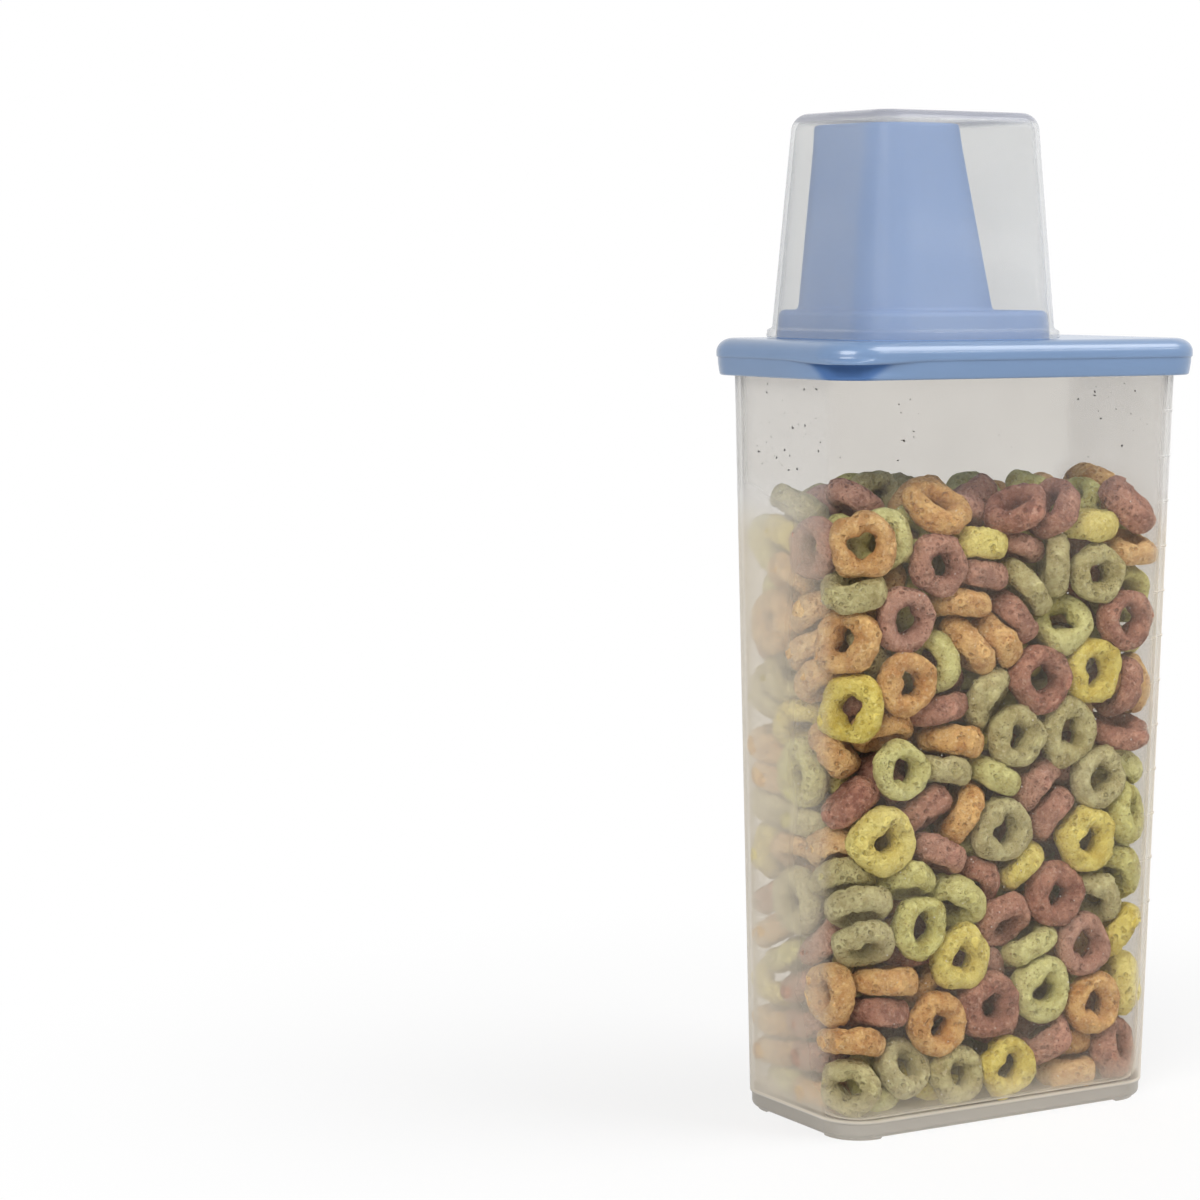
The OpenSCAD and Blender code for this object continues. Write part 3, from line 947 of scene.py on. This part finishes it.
def blue_plastic(name, deep, pale, rough, coat, scooped=False):
    """Pigmented plastic, faintly clouded, with a smooth moulded surface. A scooped one has painted shade in
    its finger tab's scoop, where it is also rougher and has no coat.
    """
    paint = Paint(name)
    cloud = paint.noise(28, 3)
    fine = paint.noise(500, 1)
    colour = paint.colour(paint.between(cloud, 0.3, 0.7), deep, pale)
    rough = rough + cloud * 0.06
    if scooped:
        painted_shade = tab_shade_mask(paint)
        # Painted shade: the scoop under the tab's lip is darkened towards a deep blue.
        colour = paint.colour(painted_shade * 0.8, colour, SCOOP_SHADE_BLUE)
        rough = rough + painted_shade * 0.5
        coat = coat * (1 - painted_shade)
    return paint.finish(paint.plastic(
        base_color=colour, roughness=rough, normal=paint.bump(fine, 0.01 * MM, 0.15),
        coat_weight=coat, coat_roughness=0.06, ior=1.5,
    ))


LIGHT_PASSED = (0.97, 0.97, 0.97)
DUST_EDGE_UP = 6 * MM
DUST_EDGE_DOWN = 10 * MM
DUST_FADE = 15 * MM
FOOT_FADE = 10 * MM
SIDE_FROM, SIDE_FULL = -24 * MM, 22 * MM
SIDE_TO, SIDE_BACK = 25.5 * MM, 20 * MM


def see_through(name, milk, milk_colour, rough, tint, grain, thick, thick_colour, dust=None):
    """Thin see-through plastic with some milk in it, more at a grazing angle. Lamps shine through it.

    milk is its share seen square on, what a grazing look adds and how much it clouds. The
    thick stretch is the heights between which it is fullest, how far it fades and its share.
    dust is the height the food's dust reaches on the wall, how it colours it, and what share of
    milk is added at the foot and to the far part of the sides.
    """
    paint = Paint(name)
    cloud = paint.noise(45, 3)
    square_on, grazing, clouding = milk
    low, high, fade, more = thick
    height = paint.axis(2)
    over_low = paint.between(height, low - fade, low)
    stretch = over_low * paint.between(height, high + fade, high)
    share = square_on + paint.facing() ** 3 * grazing * (0.5 + cloud)
    share = share + (cloud - 0.5) * clouding + stretch * more
    thick_share = over_low * paint.between(height, high, high - fade)
    wall = paint.colour(thick_share, milk_colour, thick_colour)
    if dust:
        top, dusty, foot, far_side = dust
        share = share + paint.between(height, high + FOOT_FADE, high) * foot
        filled = paint.between(height, top + DUST_EDGE_UP, top - DUST_EDGE_DOWN)
        depth = paint.axis(1)
        side = paint.between(depth, SIDE_FROM, SIDE_FULL) * paint.between(depth, SIDE_TO, SIDE_BACK)
        share = share + side * filled * far_side
        dusted = paint.between(height, top, top - DUST_FADE) * (1 - thick_share)
        wall = paint.colour(dusted, wall, dusty)
    skin = paint.bump(paint.noise(grain, 2), 0.01 * MM, 0.3)
    milky = paint.plastic(base_color=wall, roughness=rough, ior=1.45, normal=skin)
    seen = paint.mixed(share.clamped(), paint.clear(tint), milky)
    return paint.finish(paint.mixed(paint.light_ray(), seen, paint.clear(LIGHT_PASSED)))


def silicone():
    paint = Paint("milky_silicone")
    colour = paint.colour(paint.noise(80, 3), (0.74, 0.74, 0.72), (0.82, 0.82, 0.8))
    skin = paint.bump(paint.noise(1500, 2), 0.03 * MM)
    rough = 0.6 + paint.noise(300) * 0.15
    return paint.finish(paint.plastic(base_color=colour, roughness=rough, normal=skin))


def puffed_cereal(name, crust, shade, pale, fleck):
    """Baked, porous cereal: pits and flecks in a mottled crust, with a sugary bloom, and painted shade in
    the pits and on the loops' sides that face their holes.
    """
    paint = Paint("cereal_" + name)
    tone = paint.node("ShaderNodeAttribute", {"attribute_name": "loop_shade"}, output=2)
    painted_shade = paint.node("ShaderNodeAttribute", {"attribute_name": "loop_hole_shade"}, output=2)
    mottle = paint.between(paint.noise(240, 4, 0.65), 0.34, 0.6)
    crumble = paint.between(paint.noise(750, 3, 0.7), 0.38, 0.6)
    pits = paint.between(paint.cells(480), 0.4, 0.16) * paint.between(paint.noise(170, 2), 0.4, 0.56)
    flecks = paint.between(paint.cells(1100), 0.3, 0.14) * paint.between(paint.noise(300, 1), 0.48, 0.58)
    bloom = paint.between(paint.noise(900, 3, 0.7), 0.54, 0.68)
    body = paint.colour(mottle, shade, crust)
    body = paint.colour(tone * 0.4, body, pale)
    body = paint.colour((1 - crumble) * 0.3, body, shade)
    body = paint.colour(bloom * 0.5, body, pale)
    body = paint.colour(flecks * 0.85, body, fleck)
    # Painted shade: the pits are darkened towards the crust's shade.
    body = paint.colour(pits * 0.6, body, shade)
    # Painted shade on the sides of the loops that face their holes.
    body = paint.colour(painted_shade * 0.45, body, shade)
    height = paint.noise(420, 4, 0.65) * 0.6 - pits * 0.9 + crumble * 0.35
    rough = 0.72 + mottle * 0.12 - bloom * 0.15
    skin = paint.bump(height, 0.8 * MM)
    return paint.finish(paint.plastic(base_color=body, roughness=rough, normal=skin))


def crumb_finish():
    paint = Paint("dark_crumb")
    colour = paint.colour(paint.noise(900, 2), (0.012, 0.009, 0.008), (0.05, 0.03, 0.022))
    return paint.finish(paint.plastic(base_color=colour, roughness=0.75 + paint.noise(500) * 0.1))


def sugar_finish():
    paint = Paint("sugar_grain")
    colour = paint.colour(paint.noise(1200, 2), (0.8, 0.78, 0.74), (0.95, 0.94, 0.92))
    return paint.finish(paint.plastic(base_color=colour, roughness=0.18 + paint.noise(700) * 0.1))


# ---- studio --------------------------------------------------------------------------------------

PHOTO_PX = 1200
FOCAL_PX = 3295.5
SENSOR = 36.0
AZIMUTH, ELEVATION, ROLL = -36.7745, 5.9242, 0.7411
DISTANCE = 3.348 * 0.265
TARGET_PX = (952.55, 614.71)
LAMP_AIM = (0, 0, 0.12)
WORLD_LIGHT = 0.11
WHITE = (1.0, 1.0, 1.0)
FLOOR_R = 4.0
FLOOR_DROP = 0.05 * MM
FLOOR_GREY = (0.92, 0.92, 0.92)
FLOOR_LIT_R = 0.05
FLOOR_FADE_R = 0.3
FLOOR_LEAST_WHITE = 0.75


def camera():
    """The photograph's camera. It looks past the object, which stands right of the middle."""
    azimuth, elevation, roll = (math.radians(a) for a in (AZIMUTH, ELEVATION, ROLL))
    target = Vector((0, 0, cad_box[1].z / 2))
    back = Vector((
        math.sin(azimuth) * math.cos(elevation),
        -math.cos(azimuth) * math.cos(elevation),
        math.sin(elevation),
    ))
    right = (-back).cross(Vector((0, 0, 1))).normalized()
    up = back.cross(right)
    rolled = Matrix((right, up, back)).transposed() @ Matrix.Rotation(roll, 3, "Z")
    off_x = (TARGET_PX[0] - PHOTO_PX / 2) / FOCAL_PX
    off_y = (PHOTO_PX / 2 - TARGET_PX[1]) / FOCAL_PX
    pan = Vector((0, 0, -1)).rotation_difference(Vector((off_x, off_y, -1))).to_matrix()
    lens = bpy.data.cameras.new("camera")
    lens.sensor_width = SENSOR
    lens.lens = FOCAL_PX / PHOTO_PX * SENSOR
    eye = bpy.data.objects.new("camera", lens)
    eye.matrix_world = Matrix.Translation(target + back * DISTANCE) @ (rolled @ pan.inverted()).to_4x4()
    bpy.context.scene.collection.objects.link(eye)
    bpy.context.scene.camera = eye


def lamp(name, width, height, watts, place, mirrored=True):
    """An area lamp that points at the container. One that isn't mirrored lights but makes no glare."""
    light = bpy.data.lights.new(name, "AREA")
    light.shape = "RECTANGLE"
    light.size = width
    light.size_y = height
    light.energy = watts
    holder = bpy.data.objects.new(name, light)
    holder.location = place
    holder.rotation_euler = (Vector(LAMP_AIM) - Vector(place)).to_track_quat("-Z", "Y").to_euler()
    holder.visible_glossy = mirrored
    bpy.context.scene.collection.objects.link(holder)


def floor():
    """A pale floor that keeps the shadow and fades into the white background."""
    bed = bmesh.new()
    bmesh.ops.create_circle(bed, cap_ends=True, segments=96, radius=FLOOR_R)
    mesh = bpy.data.meshes.new("studio_floor")
    bed.to_mesh(mesh)
    bed.free()
    ground = bpy.data.objects.new("studio_floor", mesh)
    ground.location.z = -FLOOR_DROP
    bpy.context.scene.collection.objects.link(ground)
    paint = Paint("studio_floor")
    reach = paint.vector("LENGTH", paint.place(), output=1)
    away = FLOOR_LEAST_WHITE + (1 - FLOOR_LEAST_WHITE) * paint.between(reach, FLOOR_LIT_R, FLOOR_FADE_R)
    matt = paint.node("ShaderNodeBsdfDiffuse", inputs={"Color": FLOOR_GREY})
    white = paint.node("ShaderNodeEmission", inputs={"Color": WHITE, "Strength": 1.0})
    surface = paint.mixed((paint.looked_at() * away).clamped(), matt, white)
    ground.data.materials.append(paint.finish(surface))


def surroundings():
    """White where it is looked at or mirrored, and a plain even light elsewhere."""
    world = bpy.data.worlds.new("studio")
    world.use_nodes = True
    bpy.context.scene.world = world
    paint = Paint(tree=world.node_tree)
    light = paint.node("ShaderNodeBackground", inputs={"Color": WHITE, "Strength": WORLD_LIGHT})
    white = paint.node("ShaderNodeBackground", inputs={"Color": WHITE, "Strength": 1.0})
    surface = paint.mixed(paint.looked_at().clamped(), light, white)
    paint.node("ShaderNodeOutputWorld", inputs={"Surface": surface})


# ---- the object ------------------------------------------------------------------------------------


def dress(piece, material, body, node=None):
    """Gives a piece its finish and its body. The food has no slot, as the record has none for it."""
    piece.data.materials.clear()
    piece.data.materials.append(material)
    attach(piece, body)
    if node:
        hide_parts(node)


bpy.context.scene.view_settings.view_transform = "Standard"
camera()
surroundings()
floor()
lamp("key", 0.9, 0.9, 20.0, (-1.05, -0.8, 1.05))
lamp("fill", 1.0, 1.0, 2.5, (0.9, -0.9, 0.6), mirrored=False)
lamp("top", 0.9, 0.7, 10.0, (0.7, -0.5, 1.25))
lamp("strip", 0.8, 0.08, 2.0, (0.95, -0.95, 0.88))
lamp("back", 1.0, 1.0, 3.0, (0.3, 1.3, 0.9), mirrored=False)

frosted = see_through(
    "frosted_polypropylene", milk=(0.02, 1.5, 0.06), milk_colour=(0.76, 0.75, 0.73),
    rough=0.4, tint=(0.895, 0.885, 0.87), grain=1800,
    thick=(-1 * MM, LEDGE_Z + 0.7 * MM, 0.7 * MM, 0.6), thick_colour=(0.4, 0.37, 0.325),
    dust=(168 * MM, (0.72, 0.65, 0.54), 0.16, 0.34),
)
# The cup's thick top band is a bluish grey: a deeper cloud where the plastic is thick, with a painted
# reflection of the blue spout in its tint.
clear = see_through(
    "clear_plastic", milk=(0.07, 0.7, 0.03), milk_colour=(0.8, 0.81, 0.815),
    rough=0.12, tint=(0.905, 0.905, 0.9), grain=700,
    thick=(cup_high.z - CUP_TOP_T, cup_high.z + 3 * MM, 1.5 * MM, 0.45), thick_colour=(0.38, 0.39, 0.45),
)
# The lid's finish has painted shade in the finger tab's scoop.
lid_blue = blue_plastic(
    "blue_plastic", deep=(0.135, 0.225, 0.385), pale=(0.15, 0.245, 0.415),
    rough=0.26, coat=0.45, scooped=True,
)
spout_blue = blue_plastic(
    "blue_plastic_spout", deep=(0.175, 0.285, 0.53), pale=(0.19, 0.305, 0.555),
    rough=0.6, coat=0.0,
)

dress(container_shell(), frosted, "container", "container_body")
dress(lid(), lid_blue, "lid", "lid")
dress(spout(), spout_blue, "lid", "pour_spout")
dress(cup(), clear, "cup", "measuring_cup")

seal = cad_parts["lid_seal"]
seal.data.materials.clear()
seal.data.materials.append(silicone())

# Each flavour's crust, its darker shade, which also serves as the painted shade in the pits and holes, its
# pale bloom and its flecks.
CRUSTS = {
    "plum": ((0.52, 0.24, 0.155), (0.24, 0.075, 0.045), (0.76, 0.49, 0.37), (0.08, 0.02, 0.012)),
    "olive": ((0.62, 0.56, 0.26), (0.37, 0.3, 0.1), (0.75, 0.69, 0.42), (0.13, 0.07, 0.025)),
    "lime": ((0.76, 0.72, 0.26), (0.47, 0.4, 0.09), (0.87, 0.85, 0.45), (0.22, 0.14, 0.03)),
    "lemon": ((0.9, 0.75, 0.18), (0.63, 0.46, 0.05), (0.96, 0.88, 0.38), (0.31, 0.17, 0.02)),
    "orange": ((0.85, 0.51, 0.18), (0.54, 0.23, 0.05), (0.95, 0.73, 0.42), (0.31, 0.1, 0.025)),
}
for flavour, piece in cereal().items():
    dress(piece, puffed_cereal(flavour, *CRUSTS[flavour]), "container")
dress(crumbs(), crumb_finish(), "container")
dress(sugar(), sugar_finish(), "container")
